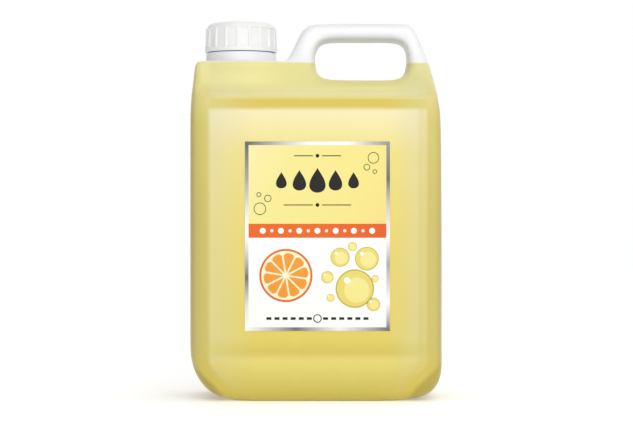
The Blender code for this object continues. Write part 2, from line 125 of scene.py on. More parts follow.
# Outline in the middle plane, one point for each point on the edge of the front face:
# (column, row): (x, height, depth of the rounding from the face to the outline)
OUTLINE = {
    (0, 0): (-66.6, 8.2, 12.5), (0, 1): (-69.7, 12.8, 11.5), (0, 2): (-72.2, 17.8, 11.0),
    (0, 3): (-73.7, 23.6, 11.0), (0, 4): (-74.3, 30.0, 11.0), (0, 5): (-HALF_WIDTH, 37.0, 11.0),
    (0, 6): (-HALF_WIDTH, 105.0, 11.0), (0, 7): (-74.3, 160.0, 11.0), (0, 8): (-74.2, 168.0, 11.0),
    (0, 9): (-73.9, 173.0, 11.0), (0, 10): (-73.6, 178.0, 11.0), (0, 11): (-73.1, 182.5, 10.5),
    (0, 12): (-72.7, 187.0, 9.0), (0, 13): (-72.3, 192.0, 8.5),
    (0, GRIP): (-71.6, 198.8, 8.0), (0, MIDDLE): (-68.8, SHOULDER_Z, 3.5),
    (1, MIDDLE): (-65.6, SHOULDER_Z, 2.6), (2, MIDDLE): (-55.6, SHOULDER_Z, 2.0),
    (3, MIDDLE): (-44.9, SHOULDER_Z, 2.0), (4, MIDDLE): (-34.2, SHOULDER_Z, 2.0),
    (5, MIDDLE): (-25.6, SHOULDER_Z, 2.6), (6, MIDDLE): (-20.4, SHOULDER_Z, 4.0),
    (7, MIDDLE): (-17.4, 200.2, 9.0), (7, HOLE_TOP): (-11.8, 211.5, 8.5),
    (7, CROWN): (-7.0, 222.3, 8.5), (8, CROWN): (3.5, CROWN_Z, 8.5),
    (9, CROWN): (17.5, CROWN_Z, 8.5), (10, CROWN): (38.0, CROWN_Z, 8.5),
    (11, CROWN): (48.6, CROWN_Z, 8.5), (12, CROWN): (53.4, CROWN_Z, 8.5),
    (13, CROWN): (57.8, 222.0, 8.5), (13, HOLE_TOP): (62.2, 212.2, 8.5),
    (13, MIDDLE): (67.2, 200.3, 9.0), (13, GRIP): (69.4, 191.2, 10.0),
    (13, 13): (70.3, 186.4, 10.5), (13, 12): (70.8, 183.4, 10.5), (13, 11): (71.3, 180.4, 11.0),
    (13, 10): (71.9, 177.2, 11.0), (13, 9): (72.6, 173.8, 11.0), (13, 8): (73.3, 169.4, 11.0),
    (13, 7): (73.9, 160.0, 11.0), (13, 6): (HALF_WIDTH, 105.0, 11.0),
    (13, 5): (HALF_WIDTH, 37.0, 11.0), (13, 4): (HALF_WIDTH, 29.0, 11.0),
    (13, 3): (74.4, 22.6, 11.0), (13, 2): (74.2, 16.8, 11.0), (13, 1): (72.8, 10.2, 11.5),
    (13, 0): (69.0, 4.6, 12.5), (12, 0): (63.2, 1.5, 13.0), (11, 0): (55.0, -0.3, 13.0),
    (2, 0): (-55.4, 0.8, 13.0), (1, 0): (-62.2, 4.0, 13.0), (3, 0): (-45.5, -1.2, 13.0),
    # round the finger hole
    (8, GRIP): (1.2, 188.8, 12.0), (9, GRIP): (16.0, 188.7, 12.0),
    (10, GRIP): (38.0, 188.5, 12.0), (11, GRIP): (52.6, 188.6, 11.0),
    (11, MIDDLE): (55.0, 200.4, 9.0), (11, HOLE_TOP): (53.2, 212.4, 8.5),
    (10, HOLE_TOP): (38.0, 212.0, 8.5), (9, HOLE_TOP): (16.0, 212.0, 8.5),
    (8, HOLE_TOP): (0.6, 212.4, 8.5), (8, MIDDLE): (-1.6, 200.4, 9.0),
}

# Rings of the neck above the shoulder: radius, height
NECK_X = -44.9
COLLAR_RADIUS, COLLAR_TOP = 20.85, 205.7
FINISH_RADIUS, MOUTH_Z = 17.4, 220.1
NECK_RINGS = [
    (22.4, SHOULDER_Z), (21.4, SHOULDER_Z + 0.25), (COLLAR_RADIUS, SHOULDER_Z + 1.2),
    (COLLAR_RADIUS, COLLAR_TOP - 0.5), (COLLAR_RADIUS - 0.35, COLLAR_TOP),
    (FINISH_RADIUS + 0.5, COLLAR_TOP), (FINISH_RADIUS, COLLAR_TOP + 0.7),
    (FINISH_RADIUS, MOUTH_Z - 0.6), (FINISH_RADIUS - 0.3, MOUTH_Z),
]

THREAD_PITCH = 4.2
THREAD_STEPS = 72             # in one turn
THREAD_START = 0.07           # angle of a thread's lower end from +X, in radians
THREAD_RUN_OUT = 10           # steps over which a thread rises from its wall at each end
THREAD_SINK = 0.4             # depth of a thread's foot inside its wall
CREST_SHARE = 0.48            # width of a thread's crest as a share of its foot's
NECK_THREAD_Z, NECK_THREAD_TURNS = 209.2, 1.5
NECK_THREAD_WIDTH, NECK_THREAD_HEIGHT = 2.2, 1.1


def face_point(column, row):
    if (column, row) in FACE_POINTS:
        x, height, depth = FACE_POINTS[(column, row)]
        return Vector((x, -depth, height))
    height, depth = BODY_ROWS[row]
    on_panel = 5 <= row <= 9
    if on_panel and column == 0:
        depth += 0.35             # the rounded edge stands a little proud of the panel
    if on_panel and column == LAST:
        depth -= 0.35
    return Vector((COLUMNS[column], -depth, height))


def has_cell(column, row):
    """Whether the front face has a cell up and to the right of this point."""
    if row < GRIP:
        return True
    if row == GRIP:
        return column < HOLE_LEFT or column >= HOLE_RIGHT
    if row == MIDDLE:
        return column == LEG_LEFT or column >= HOLE_RIGHT
    return column >= LEG_LEFT


def rim_point(column, row, level):
    """A point on the way from the edge of the front face round to the middle plane."""
    face = face_point(column, row)
    if (column, row) in OUTLINE:
        x, height, rounding = OUTLINE[(column, row)]
        middle = Vector((x, 0.0, height))
    else:
        x, height, rounding = face.x, FOOT_Z, 13.0
        middle = Vector((x, 0.0, PUSH_UP_Z))
    edge = Vector((x, face.y + rounding, height))
    corner = Vector((x, face.y, height))
    halfway = (face + edge) / 2
    return [face, halfway.lerp(corner, 0.55), edge, middle][level]


def jerrycan_cage(with_neck):
    """The bottle's outer skin as a coarse cage, from a grid whose edges are drawn round."""
    cage = bmesh.new()
    column_of = cage.verts.layers.int.new("column")
    row_of = cage.verts.layers.int.new("row")
    bmesh.ops.create_grid(cage, x_segments=LAST, y_segments=CROWN, size=1.0)
    for vert in cage.verts:
        vert[column_of] = round((vert.co.x + 1) / 2 * LAST)
        vert[row_of] = round((vert.co.y + 1) / 2 * CROWN)
    outside = [
        face for face in cage.faces
        if not has_cell(min(vert[column_of] for vert in face.verts),
                        min(vert[row_of] for vert in face.verts))
    ]
    bmesh.ops.delete(cage, geom=outside, context="FACES")
    for vert in cage.verts:
        vert.co = face_point(vert[column_of], vert[row_of])

    def over_neck(edge):
        return all(vert[row_of] == MIDDLE and vert[column_of] in NECK_COLUMNS
                   for vert in edge.verts)

    rim = [edge for edge in cage.edges if edge.is_boundary]
    for level in (1, 2, 3):
        if level == 3:
            rim = [edge for edge in rim if not over_neck(edge)]
        drawn = bmesh.ops.extrude_edge_only(cage, edges=rim)["geom"]
        for vert in (item for item in drawn if isinstance(item, bmesh.types.BMVert)):
            vert.co = rim_point(vert[column_of], vert[row_of], level)
        new_verts = {item for item in drawn if isinstance(item, bmesh.types.BMVert)}
        rim = [item for item in drawn if isinstance(item, bmesh.types.BMEdge)
               and set(item.verts) <= new_verts]
    bmesh.ops.mirror(cage, geom=cage.verts[:] + cage.edges[:] + cage.faces[:],
                     axis="Y", merge_dist=0.01)
    ring = [edge for edge in cage.edges if edge.is_boundary]
    if not with_neck:
        bmesh.ops.contextual_create(cage, geom=ring)
        bmesh.ops.recalc_face_normals(cage, faces=cage.faces)
        return cage
    steps = 2 * (len(NECK_COLUMNS) + 1)
    swell = 3 / (2 + cos(tau / steps))   # smoothing draws a ring in by this much
    for radius, height in NECK_RINGS:
        drawn = bmesh.ops.extrude_edge_only(cage, edges=ring)["geom"]
        verts = [item for item in drawn if isinstance(item, bmesh.types.BMVert)]
        for vert in verts:
            if abs(vert.co.y) < 0.01:
                step = 0 if vert.co.x < NECK_X else steps / 2
            else:
                step = vert[column_of] + 1
            side = 1 if vert.co.y > 0 else -1
            angle = pi - tau * step / steps
            vert.co = (NECK_X + radius * swell * cos(angle),
                       side * radius * swell * sin(angle), height)
            if abs(vert.co.y) < 0.01:
                vert.co.y = 0.0
        ring = [item for item in drawn if isinstance(item, bmesh.types.BMEdge)
                and set(item.verts) <= set(verts)]
    bmesh.ops.recalc_face_normals(cage, faces=cage.faces)
    return cage


def add_piece(name, shape, materials, body):
    """Make an object from a bmesh in millimetres and let it ride on a CAD body."""
    bmesh.ops.scale(shape, vec=(MM, MM, MM), verts=shape.verts)
    mesh = bpy.data.meshes.new(name)
    shape.to_mesh(mesh)
    shape.free()
    for surface in materials:
        mesh.materials.append(surface)
    mesh.shade_smooth()
    mesh.set_sharp_from_angle(angle=radians(SHARP_ANGLE))
    thing = bpy.data.objects.new(name, mesh)
    bpy.context.collection.objects.link(thing)
    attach(thing, body)
    return thing


def smoothed(cage, levels):
    """The cage after subdivision smoothing, as a new bmesh."""
    mesh = bpy.data.meshes.new("smoothing")
    cage.to_mesh(mesh)
    cage.free()
    thing = bpy.data.objects.new("smoothing", mesh)
    bpy.context.collection.objects.link(thing)
    smoothing = thing.modifiers.new("Smoothing", "SUBSURF")
    smoothing.levels = levels
    smoothing.render_levels = levels
    evaluated = thing.evaluated_get(bpy.context.evaluated_depsgraph_get())
    shape = bmesh.new()
    shape.from_mesh(evaluated.to_mesh())
    evaluated.to_mesh_clear()
    bpy.data.objects.remove(thing)
    bpy.data.meshes.remove(mesh)
    return shape


def cut_foot_flat(shape):
    """Cut off what is below the floor, and close the cut with a flat rim to stand on."""
    everything = shape.verts[:] + shape.edges[:] + shape.faces[:]
    bmesh.ops.bisect_plane(shape, geom=everything, dist=CUT_DIST,
                           plane_co=(0, 0, 0), plane_no=(0, 0, -1), clear_outer=True)
    cut = [edge for edge in shape.edges
           if edge.is_boundary and all(abs(vert.co.z) < NEAR for vert in edge.verts)]
    bmesh.ops.triangle_fill(shape, edges=cut, use_beauty=True, normal=(0, 0, -1))


def raise_parting_line(shape):
    """A fine ridge round the middle plane, where the mould's halves met."""
    for y in (-SEAM_HALF_WIDTH, SEAM_HALF_WIDTH):
        everything = shape.verts[:] + shape.edges[:] + shape.faces[:]
        bmesh.ops.bisect_plane(shape, geom=everything, dist=CUT_DIST,
                               plane_co=(0, y, 0), plane_no=(0, 1, 0))
    shape.normal_update()
    for vert in shape.verts:
        on_body = vert.co.z < COLLAR_TOP or vert.co.x > NECK_X + COLLAR_RADIUS + 1
        if abs(vert.co.y) < NEAR and vert.co.z > NEAR and on_body:
            vert.co += vert.normal * SEAM_HEIGHT


def thread_ridge(wall, crest, start_z, turns, width):
    """A rounded helical ridge, its foot sunk into a wall and its two ends run out."""
    shape = bmesh.new()
    out = 1 if crest > wall else -1
    full = abs(crest - wall)
    half_crest = CREST_SHARE / 2
    section = [shape.verts.new((NECK_X + wall + out * reach, 0.0, start_z + offset * width))
               for reach, offset in [(-THREAD_SINK, -0.5), (0.0, -0.5), (full, -half_crest),
                                     (full, half_crest), (0.0, 0.5), (-THREAD_SINK, 0.5)]]
    shape.faces.new(section)
    steps = round(turns * THREAD_STEPS)
    bmesh.ops.spin(shape, geom=shape.verts[:] + shape.edges[:] + shape.faces[:],
                   cent=(NECK_X, 0, 0), axis=(0, 0, 1), dvec=(0, 0, THREAD_PITCH / THREAD_STEPS),
                   angle=tau * turns, steps=steps, use_duplicate=False)
    run_out = THREAD_RUN_OUT * tau / THREAD_STEPS
    for vert in shape.verts:
        across = Vector((vert.co.x - NECK_X, vert.co.y, 0))
        turned = Vector((1, 0, 0)).angle(across) * (1 if across.y >= 0 else -1)
        climbed = (vert.co.z - start_z) / THREAD_PITCH
        turned += tau * round(climbed - turned / tau)
        fullness = max(0.0, min(1.0, turned / run_out, (tau * turns - turned) / run_out))
        reach = across.length
        if (reach - wall) * out > 0:
            across *= (wall + (reach - wall) * fullness) / reach
            vert.co.x, vert.co.y = NECK_X + across.x, across.y
    bmesh.ops.rotate(shape, verts=shape.verts, cent=(NECK_X, 0, 0),
                     matrix=Matrix.Rotation(THREAD_START, 3, "Z"))
    bmesh.ops.recalc_face_normals(shape, faces=shape.faces)
    return shape


def join(shape, other):
    """Add another bmesh to this one."""
    mesh = bpy.data.meshes.new("joining")
    other.to_mesh(mesh)
    other.free()
    shape.from_mesh(mesh)
    bpy.data.meshes.remove(mesh)


def give_wall(outer, smooth):
    """Close the outer skin with an inner one, WALL inside the smooth skin it started from."""
    smooth.normal_update()
    for vert in smooth.verts:
        vert.co -= vert.normal * WALL
        vert.co.z = max(vert.co.z, WALL)
    bmesh.ops.reverse_faces(smooth, faces=smooth.faces)
    join(outer, smooth)
    bmesh.ops.bridge_loops(outer, edges=[edge for edge in outer.edges if edge.is_boundary])


def linear(hex_colour):
    """An sRGB hex value as linear red, green, blue and alpha."""
    values = [int(hex_colour[place:place + 2], 16) / 255 for place in (1, 3, 5)]
    return (*[value / 12.92 if value <= 0.04045 else ((value + 0.055) / 1.055) ** 2.4
              for value in values], 1.0)


def add(tree, kind, links=None, stops=None, **settings):
    """Add a node: links gives its sockets' values or sources, stops a ramp's colours."""
    node = tree.nodes.new(kind)
    for name, value in settings.items():
        setattr(node, name, value)
    for socket, value in (links or {}).items():
        if isinstance(value, bpy.types.NodeSocket):
            tree.links.new(value, node.inputs[socket])
        else:
            node.inputs[socket].default_value = value
    if stops:
        elements = node.color_ramp.elements
        while len(elements) < len(stops):
            elements.new(1.0)
        for element, (position, colour) in zip(elements, stops):
            element.position = position
            element.color = linear(colour)
    return node


def new_material(name):
    surface = bpy.data.materials.new(name)
    surface.use_nodes = True
    return surface, surface.node_tree, surface.node_tree.nodes["Principled BSDF"]


def milky_hdpe():
    """Natural HDPE, blow-moulded: milky, softly glossy, a little uneven from the mould.

    Up to the fill line the soap behind the wall colours it, with painted light in its tones:
    a painted highlight makes it paler towards the top of the panel, and painted shade makes it
    deeper towards the foot, on the rounded side edges, in the groove and in the band under
    the ridge. Above the fill line painted shade greys and cools the faces that point down.
    """
    fill_line, blur = 198.9, 0.9
    surface, tree, shader = new_material("milky_hdpe")
    place = add(tree, "ShaderNodeTexCoord").outputs["Object"]
    axes = add(tree, "ShaderNodeSeparateXYZ", {0: place})
    reach = 210.0
    height = add(tree, "ShaderNodeMath", {0: axes.outputs["Z"], 1: reach * MM}, operation="DIVIDE")
    # the side tones, the painted edge shade among them, follow the bottom corners round, and so reach
    # further in near the floor
    reach_in = add(tree, "ShaderNodeMapRange", {
        "Value": axes.outputs["Z"], "From Min": 24 * MM, "From Max": 0.0, "To Min": 1.0,
        "To Max": 1.32}, interpolation_type="SMOOTHSTEP")
    from_middle = add(tree, "ShaderNodeMath", {
        0: axes.outputs["X"], 1: reach_in.outputs[0]}, operation="MULTIPLY")
    across = add(tree, "ShaderNodeMapRange", {
        "Value": from_middle.outputs[0], "From Min": -HALF_WIDTH * MM,
        "From Max": HALF_WIDTH * MM})

    def by_height(*tones):
        """Tones up the wall, each at its height."""
        return add(tree, "ShaderNodeValToRGB", {"Fac": height.outputs[0]},
                   stops=[(level / reach, colour) for level, colour in tones]).outputs["Color"]

    # soap seen through the middle of the front and through its pale sides, from the foot over
    # the groove's lip and the panel to the shoulder; painted shade makes both deeper towards the
    # foot, and a painted highlight makes them brightest at the top of the panel
    deep = by_height((3, "#C5B54D"), (22, "#DECE6A"), (36, "#DDC95B"), (100, "#E4CE62"),
                     (145, "#E9D978"), (169, "#F0E4B4"), (184, "#E2D98F"))
    pale = by_height((3, "#CAB850"), (22, "#D5C778"), (36, "#D5CA86"), (100, "#DACE86"),
                     (145, "#DDD196"), (169, "#E2D9B2"), (184, "#DCD492"))
    # painted shade on the rounded side edges, which turn away from the lamp: darker tones along the
    # sides
    painted_edge_shade = by_height((12, "#CFBB50"), (36, "#C9B963"), (105, "#C9B963"), (163, "#D0C16C"),
                          (199, "#E4DC98"))
    # painted shade in the groove under the panel and on the band that faces down under the ridge
    crease_shade_mask = by_height((24, "#000000"), (28, "#FFFFFF"), (30, "#FFFFFF"), (37, "#000000"),
                      (169.3, "#000000"), (171.8, "#FFFFFF"), (176.2, "#FFFFFF"),
                      (178.6, "#000000"))
    deep_tone, pale_tone = (
        add(tree, "ShaderNodeMix", {0: crease_shade_mask, 6: tone, 7: linear(crease_shade)},
            data_type="RGBA").outputs[2]
        for tone, crease_shade in ((deep, "#D3BE52"), (pale, "#D1C674")))

    def along(x):
        return (x + HALF_WIDTH) / (2 * HALF_WIDTH)

    paleness = add(tree, "ShaderNodeValToRGB", {"Fac": across.outputs[0]}, stops=[
        (along(-60), "#FFFFFF"), (along(-36), "#202020"), (along(42), "#000000"),
        (along(58), "#F0F0F0")])
    # mask of the painted edge shade, which takes over from the front's tones at the sides
    edge_shade_mask = add(tree, "ShaderNodeValToRGB", {"Fac": across.outputs[0]}, stops=[
        (along(-63.4), "#FFFFFF"), (along(-60.9), "#000000"), (along(58.8), "#000000"),
        (along(60.6), "#A8A8A8"), (along(63.8), "#A8A8A8"), (along(65.6), "#FFFFFF")])
    front = add(tree, "ShaderNodeMix", {0: paleness.outputs["Color"], 6: deep_tone, 7: pale_tone},
                data_type="RGBA")
    soap_and_painted_light = add(tree, "ShaderNodeMix", {0: edge_shade_mask.outputs["Color"], 6: front.outputs[2],
                                        7: painted_edge_shade}, data_type="RGBA")
    empty = add(tree, "ShaderNodeMapRange", {
        "Value": axes.outputs["Z"], "From Min": (fill_line - blur) * MM,
        "From Max": (fill_line + blur) * MM}, interpolation_type="SMOOTHSTEP")
    # above the fill line the wall is white, with painted shade greying and cooling the faces that
    # point down
    facing = add(tree, "ShaderNodeSeparateXYZ", {
        0: add(tree, "ShaderNodeNewGeometry").outputs["Normal"]})
    hollow = add(tree, "ShaderNodeValToRGB", {"Fac": add(tree, "ShaderNodeMapRange", {
        "Value": facing.outputs["Z"], "From Min": -1.0}).outputs[0]},
        stops=[(0.0, "#CDD0E2"), (0.35, "#E4E5EB"), (0.5, "#EFEFEF"), (1.0, "#EBEBEB")])
    colour = add(tree, "ShaderNodeMix", {0: empty.outputs[0], 6: soap_and_painted_light.outputs[2],
                                         7: hollow.outputs["Color"]}, data_type="RGBA")

    # the parison's draw lines run down the wall a few millimetres apart, over the mould's grain
    stretched = add(tree, "ShaderNodeMapping", {"Vector": place, "Scale": (1.0, 1.0, 0.03)})
    draw_lines = add(tree, "ShaderNodeTexNoise", {
        "Vector": stretched.outputs[0], "Scale": 1 / (6 * MM), "Detail": 2.0})
    grain = add(tree, "ShaderNodeTexNoise", {
        "Vector": place, "Scale": 1 / (1.6 * MM), "Detail": 3.0})
    shaded = add(tree, "ShaderNodeMapRange", {
        "Value": draw_lines.outputs[0], "To Min": 0.985, "To Max": 1.015})
    # painted shade that darkens the outermost few millimetres of the wall at each side
    flank_shade = add(tree, "ShaderNodeValToRGB", {"Fac": across.outputs[0]}, stops=[
        (0.0, "#DAD8C6"), (along(-70), "#FFFFFF"), (along(70), "#FFFFFF"), (1.0, "#DCDAC8")])
    flank_shaded = add(tree, "ShaderNodeVectorMath", {
        0: colour.outputs[2], 1: flank_shade.outputs["Color"]}, operation="MULTIPLY")
    varied = add(tree, "ShaderNodeVectorMath", {
        0: flank_shaded.outputs[0], 1: shaded.outputs[0]}, operation="MULTIPLY")
    tree.links.new(varied.outputs[0], shader.inputs["Base Color"])
    gloss = add(tree, "ShaderNodeMapRange", {
        "Value": grain.outputs[0], "To Min": 0.30, "To Max": 0.42})
    tree.links.new(gloss.outputs[0], shader.inputs["Roughness"])
    lines_bump = add(tree, "ShaderNodeBump", {
        "Height": draw_lines.outputs[0], "Strength": 0.12, "Distance": 0.4 * MM})
    grain_bump = add(tree, "ShaderNodeBump", {
        "Height": grain.outputs[0], "Strength": 0.10, "Distance": 0.12 * MM,
        "Normal": lines_bump.outputs[0]})
    tree.links.new(grain_bump.outputs[0], shader.inputs["Normal"])
    shader.inputs["IOR"].default_value = 1.54
    shader.inputs["Subsurface Weight"].default_value = 0.25
    shader.inputs["Subsurface Radius"].default_value = (1.0, 0.8, 0.4)
    shader.inputs["Subsurface Scale"].default_value = 3 * MM
    return surface


bottle_skin = smoothed(jerrycan_cage(with_neck=True), 2)
inner_skin = bottle_skin.copy()
cut_foot_flat(bottle_skin)
raise_parting_line(bottle_skin)
give_wall(bottle_skin, inner_skin)
join(bottle_skin, thread_ridge(FINISH_RADIUS, FINISH_RADIUS + NECK_THREAD_HEIGHT,
                               NECK_THREAD_Z, NECK_THREAD_TURNS, NECK_THREAD_WIDTH))
hdpe = milky_hdpe()
jerrycan = add_piece("jerrycan", bottle_skin, [hdpe], "pack")
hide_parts("bottle")


# Soap: two litres of yellow hand wash, filled to just under the shoulder. The milky wall shows
# its colour and its level; its own surface is seen only from inside the neck.

FILL_Z = 199.1
SOAP_GAP = 0.4


def hand_wash():
    """Liquid soap: glossy and pearly yellow, with a few small bubbles held in it."""
    surface, tree, shader = new_material("hand_wash")
    place = add(tree, "ShaderNodeTexCoord").outputs["Object"]
    swirl = add(tree, "ShaderNodeTexNoise", {
        "Vector": place, "Scale": 1 / (18 * MM), "Distortion": 1.5})
    colour = add(tree, "ShaderNodeValToRGB", {"Fac": swirl.outputs[0]},
                 stops=[(0.35, "#D9C04A"), (0.65, "#EBD96E")])
    bubbles = add(tree, "ShaderNodeTexVoronoi", {"Vector": place, "Scale": 1 / (4 * MM)})
    rounded = add(tree, "ShaderNodeMapRange", {
        "Value": bubbles.outputs["Distance"], "From Max": 0.25})
    bump = add(tree, "ShaderNodeBump", {
        "Height": rounded.outputs[0], "Strength": 0.2, "Distance": 0.2 * MM})
    tree.links.new(colour.outputs["Color"], shader.inputs["Base Color"])
    tree.links.new(bump.outputs[0], shader.inputs["Normal"])
    shader.inputs["Roughness"].default_value = 0.06
    shader.inputs["IOR"].default_value = 1.36
    shader.inputs["Subsurface Weight"].default_value = 0.4
    shader.inputs["Subsurface Scale"].default_value = 4 * MM
    return surface


soap = smoothed(jerrycan_cage(with_neck=False), 2)
soap.normal_update()
for vert in soap.verts:
    vert.co -= vert.normal * (WALL + SOAP_GAP)
    vert.co.z = max(vert.co.z, WALL + SOAP_GAP)
bmesh.ops.bisect_plane(soap, geom=soap.verts[:] + soap.edges[:] + soap.faces[:], dist=CUT_DIST,
                       plane_co=(0, 0, FILL_Z), plane_no=(0, 0, 1), clear_outer=True)
bmesh.ops.holes_fill(soap, edges=[edge for edge in soap.edges if edge.is_boundary])
hand_soap = add_piece("hand_soap", soap, [hand_wash()], "pack")
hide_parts("soap_fill")


# Cap: a 38 mm screw cap, injection moulded in white polypropylene. Narrow upright ribs give
# the fingers a grip over a plain skirt, and one turn of thread inside holds it to the neck.

CAP_BOTTOM, CAP_TOP, CAP_CEILING = 206.0, 223.4, 221.7
CAP_RADIUS, CAP_INSIDE = 21.55, 19.1
CAP_CORNER = 4.6              # radius of the rounded shoulder
CORNER_X = CAP_RADIUS - 5.4   # its centre
RIBS, STEPS_A_RIB = 18, 20
FOREMOST_RIB = 270 - 4        # degrees round from +X
RIB_TOP_HALF, RIB_FOOT_HALF = 1.3, 2.9
RIB_HEIGHT = 0.75
GRIP_LOW, GRIP_HIGH = 208.9, 219.4
CAP_THREAD_Z, CAP_THREAD_TURNS = 211.3, 1.0
CAP_THREAD_WIDTH, CAP_THREAD_HEIGHT = 1.6, 1.3


def ribbed_cap():
    cap = bmesh.new()
    shoulder = [(CORNER_X + CAP_CORNER * sin(radians(turn)),
                 CAP_TOP - CAP_CORNER * (1 - cos(radians(turn)))) for turn in (0, 15, 30, 45, 58)]
    profile = [
        (0, CAP_TOP), (8, CAP_TOP), *shoulder, (CAP_RADIUS - 0.75, GRIP_HIGH + 0.6),
        (CAP_RADIUS - 0.5, GRIP_HIGH), (CAP_RADIUS - 0.25, 214.5), (CAP_RADIUS - 0.1, GRIP_LOW),
        (CAP_RADIUS - 0.05, GRIP_LOW - 0.5), (CAP_RADIUS, GRIP_LOW - 0.9),
        (CAP_RADIUS, CAP_BOTTOM + 0.3), (CAP_RADIUS - 0.3, CAP_BOTTOM),
        (CAP_INSIDE + 0.4, CAP_BOTTOM), (CAP_INSIDE, CAP_BOTTOM + 0.4),
        (CAP_INSIDE, CAP_CEILING - 0.7), (CAP_INSIDE - 0.7, CAP_CEILING), (0, CAP_CEILING),
    ]
    points = [cap.verts.new((NECK_X + radius, 0, height)) for radius, height in profile]
    for here, there in zip(points, points[1:]):
        cap.edges.new((here, there))
    bmesh.ops.spin(cap, geom=cap.verts[:] + cap.edges[:], cent=(NECK_X, 0, 0), axis=(0, 0, 1),
                   angle=tau, steps=RIBS * STEPS_A_RIB, use_merge=True)
    bmesh.ops.remove_doubles(cap, verts=cap.verts, dist=0.001)
    bmesh.ops.recalc_face_normals(cap, faces=cap.faces)
    for vert in cap.verts:
        across = Vector((vert.co.x - NECK_X, vert.co.y))
        if across.length < CAP_INSIDE + 0.5 or not GRIP_LOW - 0.1 < vert.co.z < GRIP_HIGH + 0.1:
            continue
        turned = degrees(atan2(across.y, across.x)) - FOREMOST_RIB
        from_rib = abs((turned + 180 / RIBS) % (360 / RIBS) - 180 / RIBS)
        share = min(1.0, max(0.0, (from_rib - RIB_TOP_HALF) / (RIB_FOOT_HALF - RIB_TOP_HALF)))
        sunk = across * (RIB_HEIGHT * share * share * (3 - 2 * share) / across.length)
        vert.co.x -= sunk.x
        vert.co.y -= sunk.y
    join(cap, thread_ridge(CAP_INSIDE, CAP_INSIDE - CAP_THREAD_HEIGHT,
                           CAP_THREAD_Z, CAP_THREAD_TURNS, CAP_THREAD_WIDTH))
    return cap


def white_polypropylene():
    """Moulded polypropylene: opaque white, softly glossy, with the fine grain of its tool."""
    surface, tree, shader = new_material("white_polypropylene")
    place = add(tree, "ShaderNodeTexCoord").outputs["Object"]
    flow = add(tree, "ShaderNodeTexNoise", {"Vector": place, "Scale": 1 / (12 * MM), "Detail": 2.0})
    colour = add(tree, "ShaderNodeValToRGB", {"Fac": flow.outputs[0]},
                 stops=[(0.3, "#E9E9E8"), (0.7, "#EEEEED")])
    grain = add(tree, "ShaderNodeTexNoise", {"Vector": place, "Scale": 1 / (0.5 * MM), "Detail": 2.0})
    gloss = add(tree, "ShaderNodeMapRange", {
        "Value": grain.outputs[0], "To Min": 0.24, "To Max": 0.36})
    bump = add(tree, "ShaderNodeBump", {
        "Height": grain.outputs[0], "Strength": 0.12, "Distance": 0.05 * MM})
    tree.links.new(colour.outputs["Color"], shader.inputs["Base Color"])
    tree.links.new(gloss.outputs[0], shader.inputs["Roughness"])
    tree.links.new(bump.outputs[0], shader.inputs["Normal"])
    shader.inputs["IOR"].default_value = 1.49
    shader.inputs["Subsurface Weight"].default_value = 0.12
    shader.inputs["Subsurface Scale"].default_value = 1.5 * MM
    return surface


screw_cap = add_piece("ribbed_screw_cap", ribbed_cap(), [white_polypropylene()], "cap")
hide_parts("screw_cap")


# Liner: a disc of foamed polyethylene pressed into the top of the cap, which the rim of the
# neck bites into to keep the soap in.

def foamed_polyethylene():
    """Closed-cell foam: matt off-white, pitted by cells about half a millimetre across."""
    surface, tree, shader = new_material("foamed_polyethylene")
    place = add(tree, "ShaderNodeTexCoord").outputs["Object"]
    cells = add(tree, "ShaderNodeTexVoronoi", {"Vector": place, "Scale": 1 / (0.5 * MM)})
    # painted shade in the pits: the colour darkens where the cells sink in
    colour = add(tree, "ShaderNodeValToRGB", {"Fac": cells.outputs["Distance"]},
                 stops=[(0.1, "#D6D6D0"), (0.6, "#EEEEEA")])
    bump = add(tree, "ShaderNodeBump", {
        "Height": cells.outputs["Distance"], "Strength": 0.35, "Distance": 0.1 * MM})
    tree.links.new(colour.outputs["Color"], shader.inputs["Base Color"])
    tree.links.new(bump.outputs[0], shader.inputs["Normal"])
    shader.inputs["Roughness"].default_value = 0.75
    shader.inputs["IOR"].default_value = 1.5
    return surface


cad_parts["cap_liner"].material_slots[0].material = foamed_polyethylene()


# Front label: a printed and varnished film in a silver-ink frame, stuck in the panel's recess.
# A yellow field, an orange band and a white field carry plain drops, bubbles and a fruit slice.

LABEL_LEFT, LABEL_RIGHT, LABEL_BOTTOM, LABEL_TOP = -41.3, 43.0, 41.4, 151.5
LABEL_BACK, LABEL_FACE = 38.62, 38.87
LABEL_MIDDLE = (LABEL_LEFT + LABEL_RIGHT) / 2
BORDER = 2.1
BAND_LOW, BAND_HIGH = 95.5, 103.7
INK = 0.04                    # far thicker than a real ink, so that it keeps its edge
FIELD_LEFT, FIELD_RIGHT = LABEL_LEFT + BORDER, LABEL_RIGHT - BORDER
FIELD_BOTTOM, FIELD_TOP = LABEL_BOTTOM + BORDER, LABEL_TOP - BORDER
BAND_MIDDLE = (BAND_LOW + BAND_HIGH) / 2
ON_FACE = 0.01                # a side this near the film's face belongs to it
# slots of the label's finishes
WHITE, YELLOW, ORANGE, FRAME_TOP, FRAME_RIGHT, FRAME_BOTTOM, FRAME_LEFT = range(7)
CHARCOAL, PEEL, PITH, PULP, BUBBLE_RIM, BUBBLE, BUBBLE_HEART = range(7, 14)


